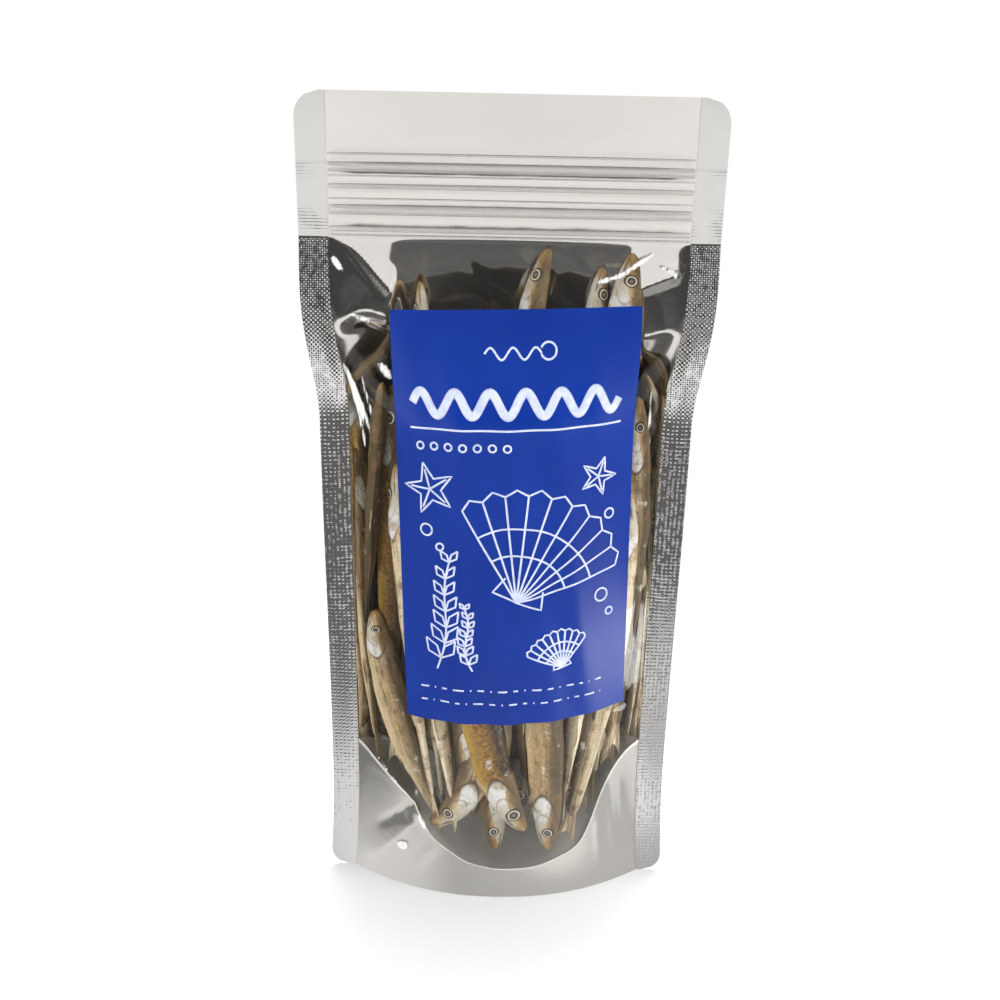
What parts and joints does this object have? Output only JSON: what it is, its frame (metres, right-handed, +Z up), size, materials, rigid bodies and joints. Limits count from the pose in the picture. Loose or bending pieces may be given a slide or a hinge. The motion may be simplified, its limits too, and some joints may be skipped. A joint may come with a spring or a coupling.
{
  "type": "stand-up pouch of dried smelt",
  "caption": "Sealed stand-up zip pouch filled with dried smelt, with a clear front, a foil back, welded sides, a fold-out base and a front label.",
  "frame": {"origin": "on the ground, under the middle of the standing pouch", "axes": "+Z up the pouch to its zip and header, +Y towards the foil back, so the label faces -Y, and +X to the right as the label is read"},
  "size_m": [0.12, 0.0416, 0.25],
  "materials": {
    "foil": "silver laminated foil, smooth and shiny, with a clear film window over the front",
    "label": "glossy printed blue sticker with white print"
  },
  "bodies": {
    "root": {"pouch": "foil", "label": "label"}
  },
  "joints": []
}
